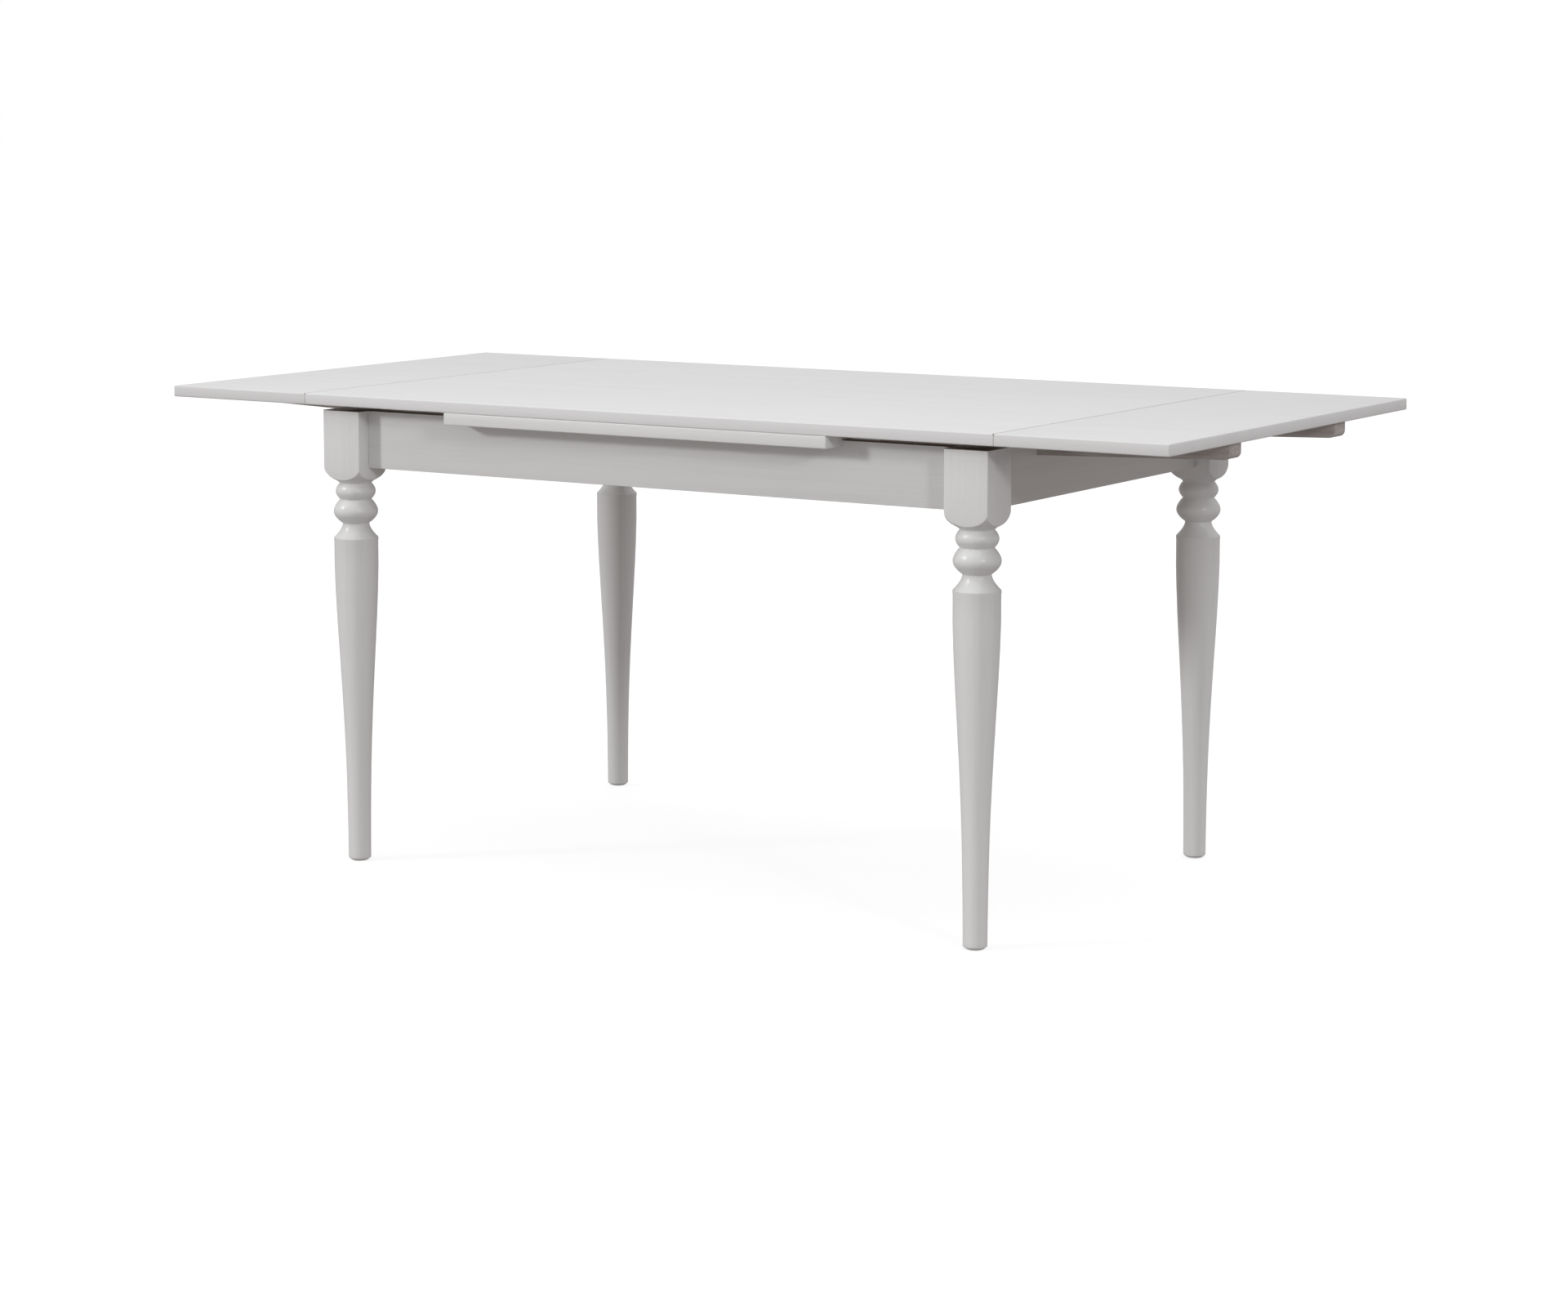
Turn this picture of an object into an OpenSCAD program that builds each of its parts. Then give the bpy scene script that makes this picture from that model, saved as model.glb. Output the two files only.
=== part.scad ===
// Draw-leaf dining table: a loose main top over a fixed centre board, with a
// leaf on a pair of tapered runners at each end, on a frame with turned legs.
// Millimetres. X is the length, Y the depth (front is -Y), Z up from the floor.
// The origin is on the floor under the middle of the table, leaves drawn out.

/* [Top] */
// height of the table's upper surface above the floor
table_h = 760; // [740:1:780]
// length of the main top between the two leaves
top_l = 1250; // [1150:1:1350]
// depth of the main top and the leaves, front to back
top_w = 850; // [800:1:900]
// thickness of the main top and the leaves
board_t = 18; // [16:1:22]
// length of each leaf beyond the end of the main top
leaf_l = 275; // [240:1:290]
// gap at the joint between the main top and a leaf
seam = 0.8; // [0.4:0.1:2]
// length of the fixed centre board under the main top
center_l = 696; // [640:1:740]
// thickness of the fixed centre board
center_t = 19; // [16:1:22]

/* [Frame] */
// width of the square block at the top of each leg
block_w = 71; // [60:1:76]
// setback of the leg blocks from the ends of the main top
leg_in_x = 20.5; // [15:0.5:40]
// setback of the leg blocks from the long edges of the top
leg_in_y = 21.5; // [15:0.5:40]
// gap between the top of the frame and the main top
frame_gap = 9; // [8:0.5:12]
// height of the apron boards
apron_h = 92; // [80:1:110]
// thickness of the apron boards
apron_t = 22; // [18:1:26]
// setback of the apron faces from the leg block faces
apron_in = 24.5; // [8:0.5:28]
// thickness of the cross rails
rail_t = 20; // [18:1:26]
// height of the cross rails
rail_h = 66; // [50:1:76]
// distance of each cross rail's middle from the table's middle
rail_x = 314; // [312:1:320]

/* [Runners] */
// width of each runner
runner_w = 40; // [30:1:50]
// distance of the runners' middle from the table's middle line
runner_y = 187; // [120:1:240]
// depth of a runner under the leaf where it meets the end apron
runner_d = 34; // [30:1:40]
// depth of the thinner inner length of a runner
runner_in_d = 22; // [18:1:23]
// how far a runner ends short of the leaf's outer edge
runner_short = 11; // [0:1:30]
// clearance around a runner in its notches
notch_gap = 0.3; // [0.2:0.1:1]
// play of a leaf past flush before its stop pegs meet the cross rail
leaf_play = 10; // [4:1:12]

/* [Legs] */
// diameter of the foot
foot_d = 36; // [30:1:46]
// diameter of the shoulder at the top of the tapered length
shoulder_d = 71; // [60:1:76]
// height of the shoulder above the floor
shoulder_z = 527; // [500:1:540]
// diameter of the neck between the shoulder and the large bead
neck_d = 42.6; // [36:0.2:50]
// diameter of the large bead
bead_low_d = 71; // [60:1:76]
// diameter of the small bead
bead_high_d = 64; // [56:1:70]
// diameter of the neck under the square block
collar_d = 51; // [44:1:56]
// height of the plastic glides under the feet
glide_h = 3; // [2:0.5:6]

/* [Guide pegs and fasteners] */
// diameter of the pegs that guide the main top
peg_d = 30; // [20:1:40]
// distance of each guide peg from the table's middle
peg_x = 200; // [120:1:260]
// height that the main top lifts before its stop discs meet the centre board
top_lift = 40; // [25:1:45]
// diameter of the discs that stop the main top's lift
stop_d = 56; // [44:1:70]
// thickness of the corner blocks
corner_t = 24; // [18:1:30]
// diameter of the corner bolts
bolt_d = 8; // [6:1:10]

/* [Hidden] */
$fn = 64;
eps = 0.01;
board_z = table_h - board_t;              // underside of the main top and leaves
frame_z = board_z - frame_gap;            // top of legs and aprons
center_z = board_z - center_t;            // underside of the centre board
apron_z = frame_z - apron_h;              // underside of the aprons
top_end = top_l / 2 - seam / 2;           // end of the main top
leaf_in = top_l / 2 + seam / 2;           // inner edge of a leaf
leaf_out = top_l / 2 + leaf_l;            // outer edge of a leaf
block_x = top_l / 2 - leg_in_x;           // outer end face of a leg block
block_y = top_w / 2 - leg_in_y;           // outer long face of a leg block
leg_x = block_x - block_w / 2;            // leg axis
leg_y = block_y - block_w / 2;
end_x = block_x - apron_in;               // outer face of an end apron
side_y = block_y - apron_in;              // outer face of a long apron
stroke = leaf_out - top_l / 2 - seam / 2; // travel of a leaf from drawn to stowed
drop = frame_gap - 0.4;                   // fall of a leaf over that travel
slope = drop / stroke;                    // rise per length of a runner's underside
run_out = leaf_out - runner_short;        // outer end of a runner
run_in = stroke + 8;                      // inner end of a runner
run_z = board_z - runner_d;               // underside of a runner at the end apron
peg_z = center_z - top_lift - 0.5;        // lower end of a guide peg
disc_h = 10;
rail_z = center_z - rail_h;
stop_peg_d = 8;
stop_peg_x = rail_x - rail_t / 2 - leaf_play - 0.2 - stop_peg_d / 2;
bolt_z = frame_z - 45;
corner_h = 60;
screw_pitch = [35, 125, 215];

function run_bottom(x) = run_z + slope * (x - end_x);
function run_top(x) = run_bottom(x) + runner_in_d;

// ---- fastener shapes ----

// countersunk wood screw, head up at the origin, shank running down to -len
module wood_screw(len, d = 4, head = 8) {
    translate([0, 0, -2.4]) cylinder(h = 2.4, d1 = d, d2 = head);
    translate([0, 0, -len]) cylinder(h = len - 2.3, d = d);
}

// the space a wood screw takes, open above its head
module screw_space(len, d = 4, head = 8, up = 30) {
    wood_screw(len, d, head);
    translate([0, 0, -eps]) cylinder(h = up, d = head + 0.6);
}

// ---- top ----

module main_top() color([0.9, 0.9, 0.9]) difference() {
    translate([-top_end, -top_w / 2, board_z]) cube([2 * top_end, top_w, board_t]);
    for (s = [-1, 1]) translate([s * peg_x, 0, board_z - 1]) cylinder(h = 10, d = peg_d);
}

module guide_pegs() color([0.8, 0.65, 0.45]) for (s = [-1, 1]) difference() {
    translate([s * peg_x, 0, peg_z]) cylinder(h = board_z + 9 - peg_z, d = peg_d);
    translate([s * peg_x, 0, peg_z - 1]) cylinder(h = 28, d = 4);
}

module peg_stop_discs() color([0.8, 0.65, 0.45]) for (s = [-1, 1]) difference() {
    translate([s * peg_x, 0, peg_z - disc_h]) cylinder(h = disc_h, d = stop_d);
    translate([s * peg_x, 0, peg_z - disc_h]) rotate([180, 0, 0]) screw_space(36);
}

module peg_screws() color([0.6, 0.6, 0.62]) for (s = [-1, 1])
    translate([s * peg_x, 0, peg_z - disc_h]) rotate([180, 0, 0]) wood_screw(36);

module leaf_plate() difference() {
    translate([leaf_in, -top_w / 2, board_z]) cube([leaf_out - leaf_in, top_w, board_t]);
    leaf_screw_set(1);
}

// screws up through both runners into the leaf; space = 1 for the holes
module leaf_screw_set(space = 0) for (s = [-1, 1], p = screw_pitch) {
    x = leaf_in + p;
    z = board_z - 14;
    translate([x, s * runner_y, z]) rotate([180, 0, 0])
        if (space == 1) screw_space(26); else wood_screw(26);
}

module leaf_left() color([0.9, 0.9, 0.9]) mirror([1, 0, 0]) leaf_plate();
module leaf_right() color([0.9, 0.9, 0.9]) leaf_plate();

// right-hand runner lying along its own axis line, in place
module runner_bar() difference() {
    r = 9;
    translate([0, runner_w / 2, 0]) rotate([90, 0, 0]) linear_extrude(runner_w)
        polygon(concat(
            [[run_in, run_top(run_in)], [run_in, run_bottom(run_in)]],
            [for (a = [-90:15:0]) [run_out - r + r * cos(a), run_bottom(run_out) + r + r * sin(a)]],
            [[run_out, board_z], [leaf_in + 0.6, board_z], [leaf_in + 0.6, run_top(leaf_in + 0.6)]]));
    translate([0, -runner_y, 0]) leaf_screw_set(1);
    translate([stop_peg_x, 0, (run_bottom(stop_peg_x) + run_top(stop_peg_x)) / 2])
        rotate([90, 0, 0]) cylinder(h = runner_w + 2, d = stop_peg_d, center = true);
}

module runner_left_front() color([0.86, 0.85, 0.83]) translate([0, -runner_y, 0]) mirror([1, 0, 0]) runner_bar();
module runner_left_back() color([0.86, 0.85, 0.83]) translate([0, runner_y, 0]) mirror([1, 0, 0]) runner_bar();
module runner_right_front() color([0.86, 0.85, 0.83]) translate([0, -runner_y, 0]) runner_bar();
module runner_right_back() color([0.86, 0.85, 0.83]) translate([0, runner_y, 0]) runner_bar();

module leaf_left_screws() color([0.6, 0.6, 0.62]) mirror([1, 0, 0]) leaf_screw_set();
module leaf_right_screws() color([0.6, 0.6, 0.62]) leaf_screw_set();

// cross pegs near the inner ends of the runners, wider than the notches
module stop_peg_set() for (s = [-1, 1])
    translate([stop_peg_x, s * runner_y, (run_bottom(stop_peg_x) + run_top(stop_peg_x)) / 2])
        rotate([90, 0, 0]) cylinder(h = runner_w + 24, d = stop_peg_d, center = true);

module leaf_left_stop_pegs() color([0.8, 0.65, 0.45]) mirror([1, 0, 0]) stop_peg_set();
module leaf_right_stop_pegs() color([0.8, 0.65, 0.45]) stop_peg_set();

// ---- fixed centre board ----

module center_screw_set(space = 0) for (sx = [-1, 1], y = [-270, -90, 90, 270])
    translate([sx * rail_x, y, rail_z + 40]) rotate([180, 0, 0])
        if (space == 1) screw_space(40, 4, 8, 60); else wood_screw(40);

module center_board() color([0.88, 0.88, 0.88]) difference() {
    translate([-center_l / 2, -top_w / 2, center_z]) cube([center_l, top_w, center_t]);
    for (s = [-1, 1]) translate([s * peg_x, 0, center_z - 1]) cylinder(h = center_t + 2, d = peg_d + 1.5);
    center_screw_set(1);
}

module center_board_screws() color([0.6, 0.6, 0.62]) center_screw_set();

// ---- aprons and cross rails ----

// sloped, open-topped passage for the two right-hand runners
module runner_notch(x0, x1) for (s = [-1, 1])
    translate([0, s * runner_y + runner_w / 2 + notch_gap, 0]) rotate([90, 0, 0])
        linear_extrude(runner_w + 2 * notch_gap)
            polygon([[x0, run_bottom(x0) - notch_gap], [x1, run_bottom(x1) - notch_gap],
                [x1, board_z], [x0, board_z]]);

module rail_dowel_set(d = 8) for (sx = [-1, 1], sy = [-1, 1], z = [rail_z + 14, rail_z + rail_h - 16])
    translate([sx * rail_x, sy * (side_y - apron_t - 8), z]) rotate([90, 0, 0])
        cylinder(h = 40, d = d, center = true);

// dowels between apron ends and leg blocks: long aprons along X, end aprons along Y
module apron_dowel_set(d = 8) for (sx = [-1, 1], sy = [-1, 1], z = [apron_z + 18, frame_z - 24]) {
    translate([sx * (block_x - block_w), sy * (side_y - apron_t / 2), z]) rotate([0, 90, 0])
        cylinder(h = 36, d = d, center = true);
    translate([sx * (end_x - apron_t / 2), sy * (block_y - block_w), z + 10]) rotate([90, 0, 0])
        cylinder(h = 36, d = d, center = true);
}

module long_apron() difference() {
    l = 2 * (block_x - block_w);
    translate([-l / 2, -side_y, apron_z]) cube([l, apron_t, apron_h]);
    translate([-center_l / 2 - 0.3, -side_y - 1, center_z]) cube([center_l + 0.6, apron_t + 2, 60]);
    apron_dowel_set();
    rail_dowel_set();
    corner_screw_set(1);
}

module apron_front() color([0.88, 0.88, 0.87]) long_apron();
module apron_back() color([0.88, 0.88, 0.87]) mirror([0, 1, 0]) long_apron();

module end_apron() difference() {
    l = 2 * (block_y - block_w);
    translate([end_x - apron_t, -l / 2, apron_z]) cube([apron_t, l, apron_h]);
    runner_notch(end_x - apron_t - 1, end_x + 1);
    apron_dowel_set();
    corner_screw_set(1);
}

module apron_left() color([0.88, 0.88, 0.87]) mirror([1, 0, 0]) end_apron();
module apron_right() color([0.88, 0.88, 0.87]) end_apron();

module cross_rail() difference() {
    l = 2 * (side_y - apron_t);
    translate([rail_x - rail_t / 2, -l / 2, rail_z]) cube([rail_t, l, rail_h]);
    runner_notch(rail_x - rail_t / 2 - 1, rail_x + rail_t / 2 + 1);
    rail_dowel_set();
    center_screw_set(1);
}

module cross_rail_left() color([0.8, 0.68, 0.48]) mirror([1, 0, 0]) cross_rail();
module cross_rail_right() color([0.8, 0.68, 0.48]) cross_rail();
module cross_rail_dowels() color([0.8, 0.65, 0.45]) rail_dowel_set();
module apron_dowels() color([0.8, 0.65, 0.45]) apron_dowel_set();

// ---- legs ----

// half-width of the turned leg at a height, from the foot up to the shoulder
function taper_r(z) = let (u = pow(max(z, 0) / 500, 1.45), k = min(u, 1))
    foot_d / 2 + (shoulder_d - foot_d - 29) / 2 * z / shoulder_z + 29 / 2 * k * k * (3 - 2 * k);

// a bead: a rounded swelling from one neck to the next
function bead(z0, z1, r0, rm, r1) =
    [for (i = [-8:8]) let (t = i / 9, r = (r0 * (1 - t) + r1 * (1 + t)) / 2)
        [r + (rm - r) * pow(cos(90 * t), 0.88), (z0 + z1) / 2 + (z1 - z0) / 2 * t]];

// the hollow above the shoulder, from the shoulder's edge up to the neck
function hollow(z0, z1, r0, r1) =
    [for (i = [1:10]) let (t = i / 10, u = 1 - t)
        [u * u * r0 + (2 * u * t + t * t) * r1, z0 + 2 * u * t * (r0 - r1) + t * t * (z1 - z0)]];

module turning() {
    z_low = shoulder_z + 23;         // neck above the shoulder
    z_mid = z_low + 38.4;            // neck between the beads
    z_top = z_mid + 26;              // neck under the block
    foot_z = glide_h;
    rotate_extrude($fn = 72) polygon(concat(
        [[0, foot_z], [foot_d / 2 - 1.5, foot_z], [foot_d / 2, foot_z + 1.5]],
        [for (z = [40:40:shoulder_z - 40]) [taper_r(z), z]],
        [[shoulder_d / 2 - 0.4, shoulder_z - 6], [shoulder_d / 2, shoulder_z - 4], [shoulder_d / 2, shoulder_z - 0.6]],
        [[shoulder_d / 2 - 0.5, shoulder_z]],
        hollow(shoulder_z, z_low, shoulder_d / 2 - 0.5, neck_d / 2),
        bead(z_low, z_mid, neck_d / 2, bead_low_d / 2, 25),
        [[25, z_mid]],
        bead(z_mid, z_top, 25, bead_high_d / 2, collar_d / 2),
        [[collar_d / 2, z_top], [collar_d / 2, z_top + 8], [0, z_top + 8]]));
}

// square block whose lower end is turned to a rounded pommel
module pommel() {
    z_c = shoulder_z + 115.6;
    h = 29.8;
    rm = block_w * 0.709;
    z_b = shoulder_z + 87.6;         // where the pommel leaves the neck
    intersection() {
        translate([-block_w / 2, -block_w / 2, z_b - 1]) cube([block_w, block_w, frame_z - z_b + 1]);
        rotate_extrude($fn = 72) polygon(concat(
            [[0, z_b - 0.8], [collar_d / 2 - 0.2, z_b - 0.8], [collar_d / 2 + 0.9, z_b + 1.2]],
            [for (a = [-54:6:-6]) [rm * cos(a), z_c + h * sin(a)]],
            [[rm, z_c], [rm, frame_z + 1], [0, frame_z + 1]]));
    }
}

// sx, sy pick the corner; the bolt enters the inner corner of the block
module leg(sx, sy) difference() {
    translate([sx * leg_x, sy * leg_y, 0]) { turning(); pommel(); }
    apron_dowel_set();
    corner_bolt_set(bolt_d);
    corner_flat_set();
    translate([sx * leg_x, sy * leg_y, -1]) cylinder(h = glide_h + 16.5, d = 4);
}

module leg_front_left() color([0.9, 0.9, 0.89]) leg(-1, -1);
module leg_front_right() color([0.9, 0.9, 0.89]) leg(1, -1);
module leg_back_left() color([0.9, 0.9, 0.89]) leg(-1, 1);
module leg_back_right() color([0.9, 0.9, 0.89]) leg(1, 1);

// ---- corner joints ----
// Each corner block is a plate across the corner at 45 degrees, screwed to
// both aprons, and a bolt through its middle draws the leg into the corner.

corner_sum = (block_x - block_w) + (block_y - block_w) - 2;  // x + y on the plate's outer face
corner_mid = [(corner_sum - ((block_y - block_w) - (block_x - block_w))) / 2,
    (corner_sum + ((block_y - block_w) - (block_x - block_w))) / 2];

module each_corner() for (sx = [-1, 1], sy = [-1, 1])
    mirror([sx < 0 ? 1 : 0, 0, 0]) mirror([0, sy < 0 ? 1 : 0, 0]) children();

// bolt axis: through the leg's inner corner, at 45 degrees
module on_bolt_axis() translate([corner_mid[0], corner_mid[1], bolt_z]) rotate([0, 0, 45]) rotate([0, 90, 0]) children();

module corner_bolt_set(d) each_corner() on_bolt_axis()
    translate([0, 0, -corner_t - 16]) cylinder(h = corner_t + 16 + 38, d = d);

// small flat on the leg's inner corner where the bolt enters
module corner_flat_set() each_corner() on_bolt_axis()
    translate([-400, -20, -15]) cube([800, 40, 19]);

module corner_plate() {
    d = corner_t * sqrt(2);
    yi = side_y - apron_t;
    xi = end_x - apron_t;
    difference() {
        translate([0, 0, bolt_z - corner_h / 2]) linear_extrude(corner_h)
            polygon([[corner_sum - yi, yi], [xi, corner_sum - xi],
                [xi, corner_sum - xi - d], [corner_sum - yi - d, yi]]);
        on_bolt_axis() translate([0, 0, -corner_t - 16]) cylinder(h = corner_t + 60, d = bolt_d + 1);
        corner_screws_one(1);
    }
}

// two screws into each apron, square to its inner face
module corner_screws_one(space = 0) for (z = [-16, 16]) {
    yi = side_y - apron_t;
    xi = end_x - apron_t;
    d = corner_t * sqrt(2);
    translate([corner_sum - yi - d * 0.5, yi - 14, bolt_z + z]) rotate([90, 0, 0])
        if (space == 1) screw_space(28); else wood_screw(28);
    translate([xi - 14, corner_sum - xi - d * 0.5, bolt_z + z]) rotate([0, -90, 0])
        if (space == 1) screw_space(28); else wood_screw(28);
}

module corner_screw_set(space = 0) each_corner() corner_screws_one(space);

module corner_block_front_left() color([0.8, 0.66, 0.45]) mirror([1, 0, 0]) mirror([0, 1, 0]) corner_plate();
module corner_block_front_right() color([0.8, 0.66, 0.45]) mirror([0, 1, 0]) corner_plate();
module corner_block_back_left() color([0.8, 0.66, 0.45]) mirror([1, 0, 0]) corner_plate();
module corner_block_back_right() color([0.8, 0.66, 0.45]) corner_plate();

module corner_bolts() color([0.62, 0.62, 0.64]) corner_bolt_set(bolt_d);

module corner_bolt_washers() color([0.62, 0.62, 0.64]) each_corner() on_bolt_axis()
    translate([0, 0, -corner_t - 2]) difference() {
        cylinder(h = 2, d = bolt_d * 3);
        translate([0, 0, -1]) cylinder(h = 4, d = bolt_d + 0.6);
    }

module corner_bolt_nuts() color([0.62, 0.62, 0.64]) each_corner() on_bolt_axis()
    translate([0, 0, -corner_t - 2 - 6.5]) difference() {
        linear_extrude(6.5) polygon([for (a = [0:60:300]) 0.94 * bolt_d * [cos(a), sin(a)]]);
        translate([0, 0, -1]) cylinder(h = 9, d = bolt_d);
    }

module corner_block_screws() color([0.6, 0.6, 0.62]) corner_screw_set();

// ---- foot glides ----

module foot_glides() color([0.75, 0.75, 0.74]) for (sx = [-1, 1], sy = [-1, 1])
    translate([sx * leg_x, sy * leg_y, 0]) {
        cylinder(h = 1, d1 = foot_d - 12, d2 = foot_d - 8);
        translate([0, 0, 1 - eps]) cylinder(h = glide_h - 1 + eps, d = foot_d - 8);
        translate([0, 0, glide_h - eps]) cylinder(h = 15, d = 4);
    }

// ---- nodes ----

main_top();
guide_pegs();
peg_stop_discs();
peg_screws();
leaf_left();
leaf_right();
runner_left_front();
runner_left_back();
runner_right_front();
runner_right_back();
leaf_left_screws();
leaf_right_screws();
leaf_left_stop_pegs();
leaf_right_stop_pegs();
center_board();
center_board_screws();
apron_front();
apron_back();
apron_left();
apron_right();
cross_rail_left();
cross_rail_right();
cross_rail_dowels();
apron_dowels();
leg_front_left();
leg_front_right();
leg_back_left();
leg_back_right();
corner_block_front_left();
corner_block_front_right();
corner_block_back_left();
corner_block_back_right();
corner_bolts();
corner_bolt_washers();
corner_bolt_nuts();
corner_block_screws();
foot_glides();
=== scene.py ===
import math
import bmesh
import bpy
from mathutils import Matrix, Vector


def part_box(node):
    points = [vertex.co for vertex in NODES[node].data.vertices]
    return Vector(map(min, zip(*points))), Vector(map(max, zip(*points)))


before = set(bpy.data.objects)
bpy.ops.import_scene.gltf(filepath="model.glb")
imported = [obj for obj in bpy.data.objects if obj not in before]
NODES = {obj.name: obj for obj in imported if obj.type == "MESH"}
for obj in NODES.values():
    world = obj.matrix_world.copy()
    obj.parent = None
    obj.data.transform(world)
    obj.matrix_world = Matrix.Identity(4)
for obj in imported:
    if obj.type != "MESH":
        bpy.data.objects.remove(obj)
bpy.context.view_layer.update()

scene = bpy.context.scene


# ---------------------------------------------------------------- materials

class Graph:
    """Short spellings for building a material's nodes."""

    def __init__(self, name):
        self.mat = bpy.data.materials.new(name)
        self.mat.use_nodes = True
        self.t = self.mat.node_tree
        self.t.nodes.clear()
        self.out = self.t.nodes.new("ShaderNodeOutputMaterial")
        self.p = self.t.nodes.new("ShaderNodeBsdfPrincipled")
        self.link(self.p.outputs["BSDF"], self.out.inputs["Surface"])
        self.co = self.t.nodes.new("ShaderNodeTexCoord").outputs["Object"]

    def link(self, a, b):
        self.t.links.new(a, b)

    def put(self, socket, value):
        if isinstance(value, bpy.types.NodeSocket):
            self.link(value, socket)
        else:
            socket.default_value = value

    def mapped(self, scale=(1, 1, 1), rotation=(0, 0, 0), location=(0, 0, 0), co=None):
        m = self.t.nodes.new("ShaderNodeMapping")
        self.link(co or self.co, m.inputs["Vector"])
        m.inputs["Scale"].default_value = scale
        m.inputs["Rotation"].default_value = rotation
        m.inputs["Location"].default_value = location
        return m.outputs["Vector"]

    def noise(self, vector, scale=5.0, detail=4.0, rough=0.5, distortion=0.0):
        n = self.t.nodes.new("ShaderNodeTexNoise")
        self.link(vector, n.inputs["Vector"])
        n.inputs["Scale"].default_value = scale
        n.inputs["Detail"].default_value = detail
        n.inputs["Roughness"].default_value = rough
        n.inputs["Distortion"].default_value = distortion
        return n.outputs["Fac"]

    def wave(self, vector, scale=5.0, distortion=3.0, detail=2.0, detail_scale=1.0, rings=False):
        n = self.t.nodes.new("ShaderNodeTexWave")
        n.wave_type = "RINGS" if rings else "BANDS"
        self.link(vector, n.inputs["Vector"])
        n.inputs["Scale"].default_value = scale
        n.inputs["Distortion"].default_value = distortion
        n.inputs["Detail"].default_value = detail
        n.inputs["Detail Scale"].default_value = detail_scale
        return n.outputs["Fac"]

    def math(self, op, a, b=0.0, clamp=False):
        n = self.t.nodes.new("ShaderNodeMath")
        n.operation = op
        n.use_clamp = clamp
        self.put(n.inputs[0], a)
        self.put(n.inputs[1], b)
        return n.outputs[0]

    def ramp(self, fac, stops):
        n = self.t.nodes.new("ShaderNodeValToRGB")
        self.link(fac, n.inputs["Fac"])
        e = n.color_ramp.elements
        while len(e) < len(stops):
            e.new(0.5)
        for i, (pos, c) in enumerate(stops):
            e[i].position = pos
            e[i].color = (*c, 1.0) if len(c) == 3 else c
        return n.outputs["Color"]

    def span(self, fac, a, b, lo, hi):
        n = self.t.nodes.new("ShaderNodeMapRange")
        self.link(fac, n.inputs["Value"])
        n.inputs["From Min"].default_value = a
        n.inputs["From Max"].default_value = b
        n.inputs["To Min"].default_value = lo
        n.inputs["To Max"].default_value = hi
        return n.outputs["Result"]

    def mix(self, fac, a, b, blend="MIX"):
        n = self.t.nodes.new("ShaderNodeMix")
        n.data_type = "RGBA"
        n.blend_type = blend
        self.put(n.inputs["Factor"], fac)
        self.put(n.inputs["A"], a)
        self.put(n.inputs["B"], b)
        return n.outputs["Result"]

    def bump(self, height, distance, strength=1.0, normal=None):
        n = self.t.nodes.new("ShaderNodeBump")
        n.inputs["Strength"].default_value = strength
        n.inputs["Distance"].default_value = distance
        self.link(height, n.inputs["Height"])
        if normal is not None:
            self.link(normal, n.inputs["Normal"])
        return n.outputs["Normal"]

    def edges(self, radius):
        """1 along sharp edges, falling to 0 about radius away from them."""
        b = self.t.nodes.new("ShaderNodeBevel")
        b.samples = 4
        b.inputs["Radius"].default_value = radius
        g = self.t.nodes.new("ShaderNodeNewGeometry")
        d = self.t.nodes.new("ShaderNodeVectorMath")
        d.operation = "DOT_PRODUCT"
        self.link(b.outputs["Normal"], d.inputs[0])
        self.link(g.outputs["Normal"], d.inputs[1])
        return self.span(d.outputs["Value"], 0.985, 0.80, 0.0, 1.0)


def along(axis, long, cross):
    """Mapping scale that stretches a texture along one axis."""
    return tuple(long if a == axis else cross for a in "XYZ")


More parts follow.
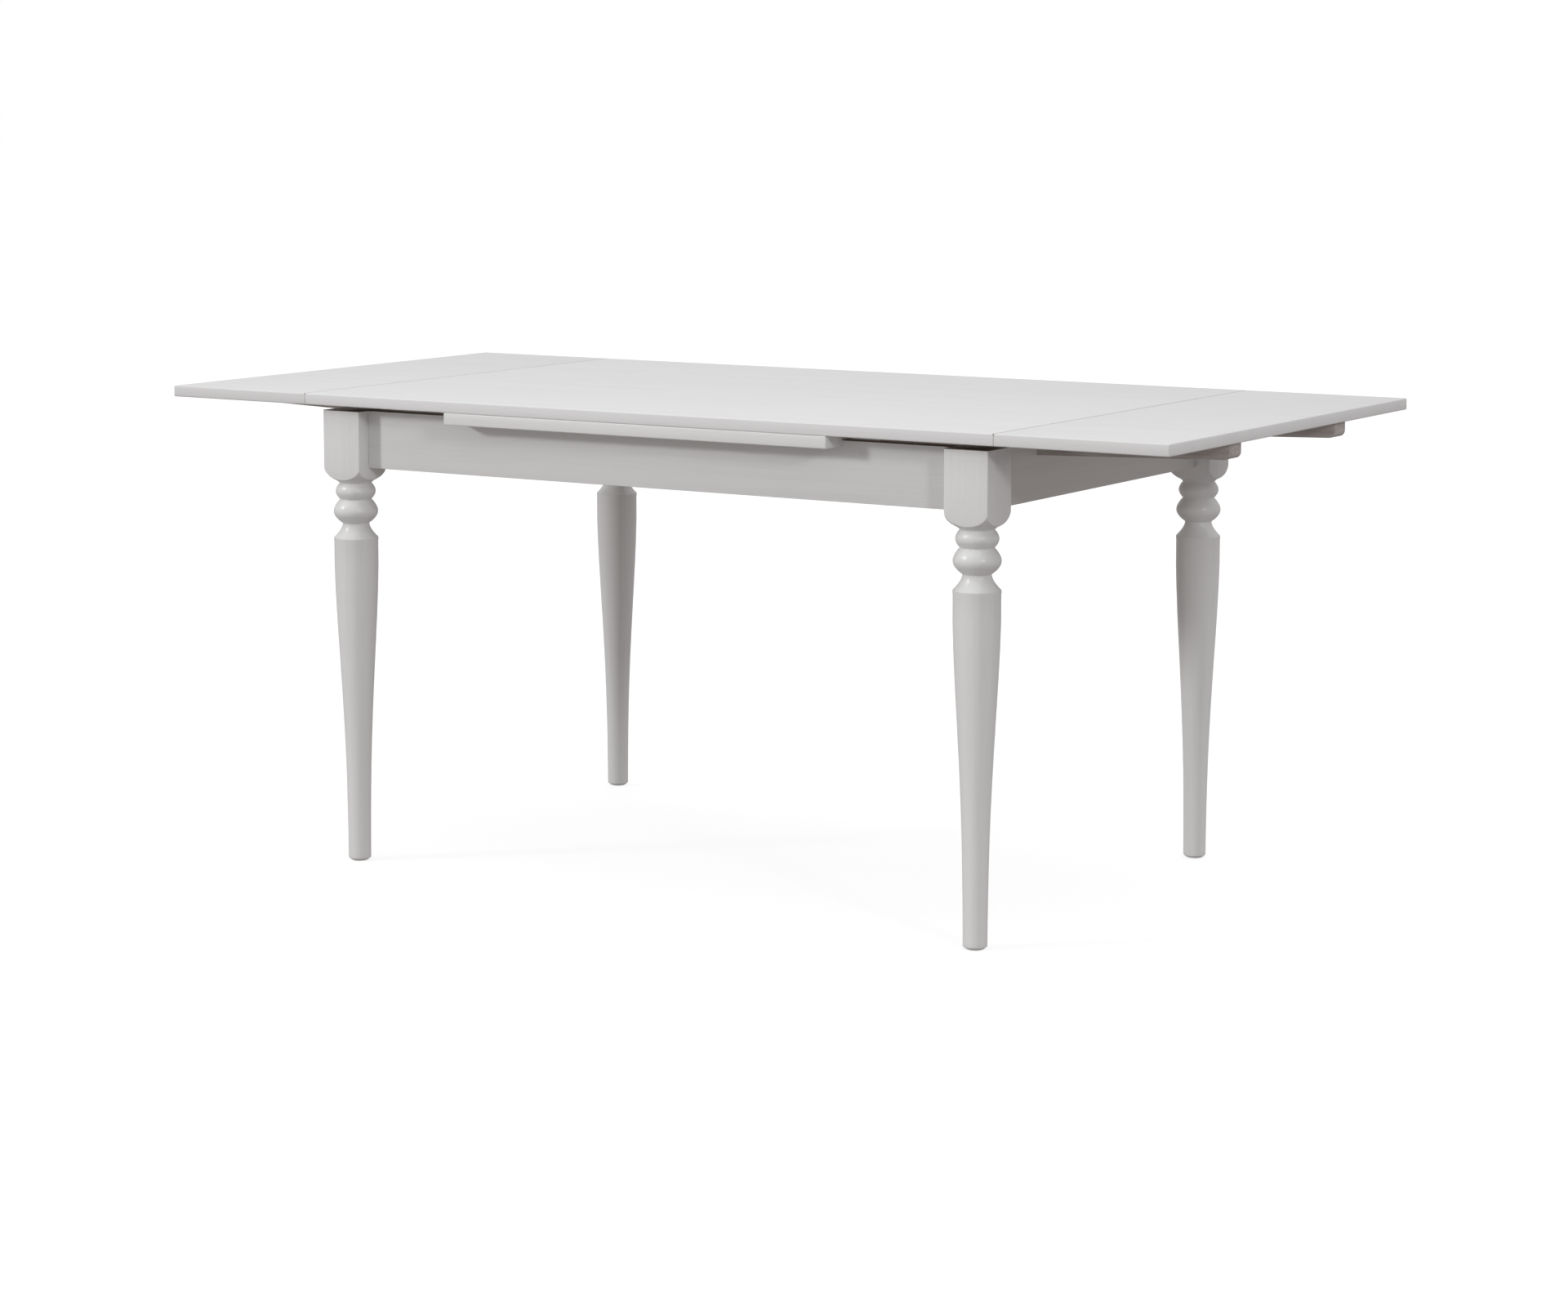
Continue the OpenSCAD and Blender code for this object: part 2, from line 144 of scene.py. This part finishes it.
def paint(name, base, axis, streak=0.035, wear=0.25, rough=0.40, grain=0.00016, gap_shade_above=None, seam_shade_x=None, coat=0.0):
    """Satin paint brushed along axis over close-grained wood, which telegraphs through it."""
    g = Graph(name)
    c = Vector(base)
    fine = g.noise(g.mapped(along(axis, 2.2, 150)), 1.0, 6, 0.62)
    wide = g.noise(g.mapped(along(axis, 0.9, 26)), 1.0, 4, 0.55, 0.4)
    blot = g.noise(g.co, 3.2, 3, 0.5)
    peel = g.noise(g.co, 520, 2, 0.5)
    tone = g.math("ADD", g.math("MULTIPLY", fine, 0.55), g.math("MULTIPLY", wide, 0.45))
    tone = g.math("ADD", g.math("MULTIPLY", tone, 0.82), g.math("MULTIPLY", blot, 0.18))
    low = c * (1 - streak * 2.2)
    low.x *= 1.0
    low.y *= 0.997
    low.z *= 0.992
    col = g.ramp(tone, [(0.30, tuple(low)), (0.50, tuple(c)), (0.72, tuple(min(1.0, v) for v in c * (1 + streak * 0.9)))])
    pores = g.span(g.noise(g.mapped(along(axis, 9, 420), location=(3.1, 1.7, 0.4)), 1.0, 2, 0.5), 0.68, 0.78, 0.0, 1.0)
    col = g.mix(g.math("MULTIPLY", pores, 0.06), col, (*(c * 0.80), 1.0))
    worn = g.math("MULTIPLY", g.edges(0.0022), g.span(g.noise(g.co, 46, 4, 0.6), 0.46, 0.62, 0.0, wear), clamp=True)
    col = g.mix(worn, col, (c.x * 0.80, c.y * 0.765, c.z * 0.71, 1.0))
    if seam_shade_x is not None:
        # painted shade along the joint's arrises, standing in for the shadow down in the seam groove: a dark band
        # either side of the seam's x, both ends, on the top arris only, broken up by noise
        sx = g.t.nodes.new("ShaderNodeSeparateXYZ")
        g.link(g.co, sx.inputs[0])
        off = g.math("ABSOLUTE", g.math("SUBTRACT", g.math("ABSOLUTE", sx.outputs["X"]), seam_shade_x))
        seam_shade_noise = g.span(g.noise(g.co, 38, 4, 0.6), 0.25, 0.6, 0.55, 0.95)
        band = g.math("MULTIPLY", g.span(off, 0.0012, 0.0020, 1.0, 0.0), seam_shade_noise)
        band = g.math("MULTIPLY", band, g.span(sx.outputs["Z"], 0.7572, 0.7582, 0.0, 1.0))
        col = g.mix(band, col, (0.40, 0.375, 0.36, 1.0))
    if gap_shade_above is not None:
        # painted shade: above this height the frame tops turn near-black brown, bare end grain made this dark to stand
        # in for the deep shadow in the gap under the top
        xyz = g.t.nodes.new("ShaderNodeSeparateXYZ")
        g.link(g.co, xyz.inputs[0])
        gap_shade_noise = g.span(g.noise(g.co, 900, 4, 0.6), 0.35, 0.65, 0.0, 1.0)
        gap_shade = g.mix(gap_shade_noise, (0.085, 0.055, 0.035, 1), (0.17, 0.12, 0.08, 1))
        level = g.math("ADD", xyz.outputs["Z"], g.math("MULTIPLY", g.noise(g.co, 60, 2, 0.5), 0.0006))
        col = g.mix(g.span(level, gap_shade_above, gap_shade_above + 0.0002, 0.0, 1.0), col, gap_shade)
    g.link(col, g.p.inputs["Base Color"])
    g.link(g.span(tone, 0.25, 0.75, rough + 0.07, rough - 0.06), g.p.inputs["Roughness"])
    n = g.bump(g.math("SUBTRACT", tone, g.math("MULTIPLY", pores, 0.12)), grain)
    n = g.bump(peel, 0.00003, 1.0, n)
    g.link(n, g.p.inputs["Normal"])
    g.p.inputs["Specular IOR Level"].default_value = 0.42
    g.p.inputs["Coat Weight"].default_value = coat
    g.p.inputs["Coat Roughness"].default_value = 0.20
    g.p.inputs["IOR"].default_value = 1.46
    return g.mat


def washed_wood(name, axis="X"):
    """Thin grey-white wash that lets brown grain through, for the runners."""
    g = Graph(name)
    grain = g.noise(g.mapped(along(axis, 4, 190)), 1.0, 6, 0.65)
    band = g.wave(g.mapped(along(axis, 0.6, 9)), 6.0, 5.0, 3.0, 1.6)
    patch = g.noise(g.co, 28, 4, 0.6)
    f = g.math("ADD", g.math("MULTIPLY", grain, 0.68), g.math("MULTIPLY", band, 0.08))
    f = g.math("ADD", f, g.math("MULTIPLY", patch, 0.27))
    col = g.ramp(f, [(0.36, (0.40, 0.355, 0.33)), (0.54, (0.53, 0.495, 0.47)), (0.70, (0.62, 0.60, 0.58))])
    g.link(col, g.p.inputs["Base Color"])
    g.link(g.span(f, 0.3, 0.7, 0.66, 0.48), g.p.inputs["Roughness"])
    g.link(g.bump(f, 0.0003), g.p.inputs["Normal"])
    return g.mat


def bare_wood(name, axis, light, dark, ring=22.0):
    """Planed, unfinished wood with growth bands along axis."""
    g = Graph(name)
    wob = g.noise(g.mapped(along(axis, 1.2, 5)), 1.0, 3, 0.5)
    v = g.mapped(along(axis, 0.35, 4.0))
    band = g.wave(v, ring / 4, 6.0, 3.0, 1.1)
    fibre = g.noise(g.mapped(along(axis, 6, 260)), 1.0, 5, 0.6)
    f = g.math("ADD", g.math("MULTIPLY", band, 0.26), g.math("MULTIPLY", fibre, 0.62))
    f = g.math("ADD", f, g.math("MULTIPLY", wob, 0.17))
    mid = tuple((a + b) / 2 for a, b in zip(light, dark))
    g.link(g.ramp(f, [(0.25, dark), (0.52, mid), (0.80, light)]), g.p.inputs["Base Color"])
    g.link(g.span(f, 0.2, 0.8, 0.72, 0.52), g.p.inputs["Roughness"])
    g.link(g.bump(f, 0.00022), g.p.inputs["Normal"])
    return g.mat


def zinc(name, scale=160):
    g = Graph(name)
    n = g.noise(g.co, scale, 5, 0.6)
    s = g.noise(g.mapped((40, 700, 700)), 1.0, 3, 0.5)
    g.link(g.ramp(n, [(0.3, (0.46, 0.46, 0.47)), (0.55, (0.62, 0.62, 0.63)), (0.75, (0.70, 0.69, 0.66))]), g.p.inputs["Base Color"])
    g.p.inputs["Metallic"].default_value = 1.0
    g.link(g.span(n, 0.3, 0.7, 0.30, 0.46), g.p.inputs["Roughness"])
    g.link(g.bump(s, 0.00004), g.p.inputs["Normal"])
    return g.mat


def plastic(name, base):
    g = Graph(name)
    n = g.noise(g.co, 90, 3, 0.5)
    fine = g.noise(g.co, 1400, 2, 0.5)
    c = Vector(base)
    g.link(g.ramp(n, [(0.35, tuple(c * 0.93)), (0.65, tuple(c))]), g.p.inputs["Base Color"])
    g.link(g.span(n, 0.3, 0.7, 0.45, 0.58), g.p.inputs["Roughness"])
    g.link(g.bump(fine, 0.00003), g.p.inputs["Normal"])
    return g.mat


WHITE = (0.788, 0.785, 0.785)
M = {
    "top": paint("paint_top", WHITE, "X", streak=0.024, wear=0.18, rough=0.47, seam_shade_x=0.625),
    "leaf": paint("paint_leaves", (0.768, 0.765, 0.764), "X", streak=0.026, wear=0.2, rough=0.47, seam_shade_x=0.625),
    "board": paint("paint_center_board", (0.79, 0.79, 0.785), "X", streak=0.035, wear=0.3),
    "apron_x": paint("paint_long_aprons", (0.77, 0.77, 0.765), "X", streak=0.03, gap_shade_above=0.7323),
    # painted shade: the end aprons get a darker, warmer copy of the long aprons' white paint, standing in for the
    # shade they sit in under the leaves
    "apron_y_shaded": paint("paint_end_aprons_shaded", (0.75, 0.735, 0.722), "Y", streak=0.03, gap_shade_above=0.7323),
    "leg": paint("paint_legs", (0.785, 0.785, 0.78), "Z", streak=0.025, wear=0.22, rough=0.36, gap_shade_above=0.7323, coat=0.35),
    "runner": washed_wood("runner_wash"),
    "rail": bare_wood("pine_rails", "Y", (0.74, 0.58, 0.38), (0.50, 0.34, 0.19)),
    "block": bare_wood("pine_blocks", "Z", (0.72, 0.55, 0.35), (0.48, 0.32, 0.18), 30),
    "dowel_x": bare_wood("beech_dowels_x", "X", (0.76, 0.60, 0.42), (0.60, 0.44, 0.29), 60),
    "dowel_y": bare_wood("beech_dowels_y", "Y", (0.76, 0.60, 0.42), (0.60, 0.44, 0.29), 60),
    "dowel_z": bare_wood("beech_pegs", "Z", (0.74, 0.58, 0.40), (0.58, 0.42, 0.28), 60),
    "screw": zinc("zinc_screws"),
    "bolt": zinc("zinc_bolts", 110),
    "glide": plastic("glide_plastic", (0.74, 0.74, 0.72)),
}

FINISH = {
    "main_top": "top", "leaf_left": "leaf", "leaf_right": "leaf",
    "guide_pegs": "dowel_z", "peg_stop_discs": "dowel_x", "peg_screws": "screw",
    "leaf_left_screws": "screw", "leaf_right_screws": "screw",
    "leaf_left_stop_pegs": "dowel_y", "leaf_right_stop_pegs": "dowel_y",
    "center_board": "board", "center_board_screws": "screw",
    "apron_front": "apron_x", "apron_back": "apron_x",
    "apron_left": "apron_y_shaded", "apron_right": "apron_y_shaded",
    "cross_rail_left": "rail", "cross_rail_right": "rail",
    "cross_rail_dowels": "dowel_y", "apron_dowels": "dowel_x",
    "corner_bolts": "bolt", "corner_bolt_washers": "bolt", "corner_bolt_nuts": "bolt",
    "corner_block_screws": "screw", "foot_glides": "glide",
}
for n in NODES:
    if n.startswith("leg_"):
        FINISH[n] = "leg"
    elif n.startswith("runner_"):
        FINISH[n] = "runner"
    elif n.startswith("corner_block_") and n not in FINISH:
        FINISH[n] = "block"

for n, o in NODES.items():
    o.data.materials.clear()
    o.data.materials.append(M[FINISH[n]])


# ---------------------------------------------------------------- eased edges

def smooth_by_angle(angle):
    """A modifier tree that shades smooth and keeps creases sharper than angle."""
    t = bpy.data.node_groups.new("smooth_%d" % round(math.degrees(angle)), "GeometryNodeTree")
    t.is_modifier = True
    t.interface.new_socket("Geometry", in_out="INPUT", socket_type="NodeSocketGeometry")
    t.interface.new_socket("Geometry", in_out="OUTPUT", socket_type="NodeSocketGeometry")
    i = t.nodes.new("NodeGroupInput")
    o = t.nodes.new("NodeGroupOutput")
    face = t.nodes.new("GeometryNodeSetShadeSmooth")
    face.domain = "FACE"
    face.inputs["Shade Smooth"].default_value = True
    edge = t.nodes.new("GeometryNodeSetShadeSmooth")
    edge.domain = "EDGE"
    bend = t.nodes.new("GeometryNodeInputMeshEdgeAngle")
    less = t.nodes.new("FunctionNodeCompare")
    less.data_type = "FLOAT"
    less.operation = "LESS_EQUAL"
    less.inputs[1].default_value = angle
    t.links.new(i.outputs[0], face.inputs["Geometry"])
    t.links.new(face.outputs[0], edge.inputs["Geometry"])
    t.links.new(bend.outputs["Unsigned Angle"], less.inputs[0])
    t.links.new(less.outputs[0], edge.inputs["Shade Smooth"])
    t.links.new(edge.outputs[0], o.inputs[0])
    return t


SMOOTH = smooth_by_angle(math.radians(30))


def mod_weld(o):
    m = o.modifiers.new("weld", "WELD")
    m.merge_threshold = 2e-6


def mod_planar(o):
    m = o.modifiers.new("planar", "DECIMATE")
    m.decimate_type = "DISSOLVE"
    m.angle_limit = math.radians(0.4)
    m.delimit = set()


def mod_smooth(o):
    m = o.modifiers.new("smooth", "NODES")
    m.node_group = SMOOTH


def box_planes(node, tol=2e-5):
    """A function giving the planes of the node's box that hold both ends of an edge, as (axis, side)."""
    lo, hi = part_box(node)

    def planes(a, b):
        out = []
        for i in range(3):
            if abs(a[i] - lo[i]) < tol and abs(b[i] - lo[i]) < tol:
                out.append((i, -1))
            if abs(a[i] - hi[i]) < tol and abs(b[i] - hi[i]) < tol:
                out.append((i, 1))
        return out
    return planes


def ease(node, width, segments=3, special=None):
    """Eases the long arrises of a board: the edges where two planes of its box meet. special gives a plane's own share of the width."""
    o = NODES[node]
    me = o.data
    planes = box_planes(node)
    at = me.attributes.new("bevel_weight_edge", "FLOAT", "EDGE")
    for e in me.edges:
        p = planes(me.vertices[e.vertices[0]].co, me.vertices[e.vertices[1]].co)
        w = 1.0 if len(p) > 1 else 0.0
        if w and special:
            for k, v in special.items():
                if k in p:
                    w = v
        at.data[e.index].value = w
    mod_weld(o)
    mod_planar(o)
    b = o.modifiers.new("eased", "BEVEL")
    b.width = width
    b.segments = segments
    b.limit_method = "WEIGHT"
    b.use_clamp_overlap = True
    b.loop_slide = False
    mod_smooth(o)


def ease_by_angle(node, width, angle=40, segments=2):
    """Eases every crease sharper than angle."""
    o = NODES[node]
    mod_weld(o)
    mod_planar(o)
    b = o.modifiers.new("eased", "BEVEL")
    b.width = width
    b.segments = segments
    b.limit_method = "ANGLE"
    b.angle_limit = math.radians(angle)
    b.use_clamp_overlap = True
    mod_smooth(o)


ease("main_top", 0.0018, 3, {(0, 1): 0.6, (0, -1): 0.6})
ease("leaf_left", 0.0018, 3, {(0, 1): 0.6})
ease("leaf_right", 0.0018, 3, {(0, -1): 0.6})
ease("center_board", 0.0018)
for n in ("apron_front", "apron_back", "apron_left", "apron_right", "cross_rail_left", "cross_rail_right"):
    ease(n, 0.0012, 2)
for n in NODES:
    if n.startswith("leg_"):
        ease_by_angle(n, 0.0011, 44, 2)
    elif n.startswith("runner_"):
        ease_by_angle(n, 0.0014, 40, 2)
    elif n.startswith("corner_block_") and n != "corner_block_screws":
        ease_by_angle(n, 0.0008, 40, 2)
    elif not NODES[n].modifiers:
        mod_weld(NODES[n])
        mod_smooth(NODES[n])


# ---------------------------------------------------------------- stage, light, camera

def pale(name, low, high, glow):
    g = Graph(name)
    n = g.noise(g.co, 1.3, 3, 0.5)
    g.link(g.ramp(n, [(0.3, (low,) * 3), (0.7, (high,) * 3)]), g.p.inputs["Base Color"])
    g.p.inputs["Roughness"].default_value = 0.95
    g.p.inputs["Specular IOR Level"].default_value = 0.0
    g.p.inputs["Emission Color"].default_value = (1, 1, 1, 1)
    g.p.inputs["Emission Strength"].default_value = glow
    return g.mat


def stage_disc(name, radius, z, mat):
    bm = bmesh.new()
    bmesh.ops.create_circle(bm, cap_ends=True, segments=96, radius=radius)
    me = bpy.data.meshes.new(name)
    bm.to_mesh(me)
    bm.free()
    o = bpy.data.objects.new(name, me)
    o.location.z = z
    scene.collection.objects.link(o)
    me.materials.append(mat)
    return o


def stage_dome(name, radius, mat):
    """A plain bowl round and over the floor, for the backdrop in every direction."""
    bm = bmesh.new()
    bmesh.ops.create_uvsphere(bm, u_segments=64, v_segments=32, radius=radius)
    bmesh.ops.reverse_faces(bm, faces=bm.faces)
    me = bpy.data.meshes.new(name)
    bm.to_mesh(me)
    bm.free()
    o = bpy.data.objects.new(name, me)
    scene.collection.objects.link(o)
    me.materials.append(mat)
    return o


floor = stage_disc("floor", 39.0, -0.0004, pale("floor_pale", 0.30, 0.31, 0.80))
dome = stage_dome("backdrop", 40.0, pale("backdrop_pale", 0.0, 0.01, 1.0))
for o in (floor, dome):
    o.visible_diffuse = False
    o.visible_glossy = False
dome.visible_shadow = False
dome.visible_transmission = False

world = bpy.data.worlds.new("studio")
scene.world = world
world.use_nodes = True
wt = world.node_tree
wt.nodes.clear()
w_out = wt.nodes.new("ShaderNodeOutputWorld")
w_bg = wt.nodes.new("ShaderNodeBackground")
w_co = wt.nodes.new("ShaderNodeTexCoord")
w_sep = wt.nodes.new("ShaderNodeSeparateXYZ")
w_ramp = wt.nodes.new("ShaderNodeValToRGB")
w_map = wt.nodes.new("ShaderNodeMapRange")
wt.links.new(w_co.outputs["Generated"], w_sep.inputs[0])
wt.links.new(w_sep.outputs["Z"], w_map.inputs["Value"])
w_map.inputs["From Min"].default_value = -1.0
w_map.inputs["From Max"].default_value = 1.0
wt.links.new(w_map.outputs["Result"], w_ramp.inputs["Fac"])
WORLD = [(-1.0, (0.18, 0.163, 0.160)), (-0.6, (0.275, 0.252, 0.247)), (-0.25, (0.42, 0.395, 0.391)), (-0.03, (0.48, 0.458, 0.453)),
         (0.06, (0.475, 0.467, 0.463)), (0.25, (0.455, 0.455, 0.455)), (0.55, (0.65, 0.65, 0.655)), (0.85, (1.20, 1.20, 1.205)), (1.0, (1.40, 1.40, 1.405))]
e = w_ramp.color_ramp.elements
while len(e) < len(WORLD):
    e.new(0.5)
for i, (z, c) in enumerate(WORLD):
    e[i].position = (z + 1) / 2
    e[i].color = (*c, 1)
wt.links.new(w_ramp.outputs["Color"], w_bg.inputs["Color"])
w_bg.inputs["Strength"].default_value = 0.92
wt.links.new(w_bg.outputs["Background"], w_out.inputs["Surface"])


def sun(name, travel, energy, angle, colour=(1, 1, 1)):
    l = bpy.data.lights.new(name, "SUN")
    l.energy = energy
    l.angle = math.radians(angle)
    l.color = colour
    o = bpy.data.objects.new(name, l)
    scene.collection.objects.link(o)
    o.rotation_mode = "QUATERNION"
    o.rotation_quaternion = Vector(travel).to_track_quat("-Z", "Y")
    return o


# the low key shades only; a higher, larger one gives the gloss, so the flat top doesn't burn out seen against the key
sun("key", (0.50, 0.48, -0.20), 1.04, 7).visible_glossy = False
sun("gloss", (0.50, 0.48, -0.46), 0.70, 14).visible_diffuse = False
sun("fill", (-0.74, 0.44, -0.32), 0.48, 8)

cam_data = bpy.data.cameras.new("camera")
cam = bpy.data.objects.new("camera", cam_data)
scene.collection.objects.link(cam)
scene.camera = cam
YAW, PITCH, F = 0.55997, 0.10101, 4407.883
cam.location = (3.053735, -4.872704, 1.257855)
d = Vector((-math.sin(YAW) * math.cos(PITCH), math.cos(YAW) * math.cos(PITCH), -math.sin(PITCH)))
cam.rotation_mode = "QUATERNION"
cam.rotation_quaternion = d.to_track_quat("-Z", "Y")
cam_data.sensor_width = 36
cam_data.lens = F * 36 / 1920
cam_data.shift_x = 8.129 / 1920
cam_data.shift_y = -256 / 1920
cam_data.clip_start = 0.05
cam_data.clip_end = 200
cam_data.dof.use_dof = False

scene.view_settings.view_transform = "Standard"
scene.view_settings.look = "None"
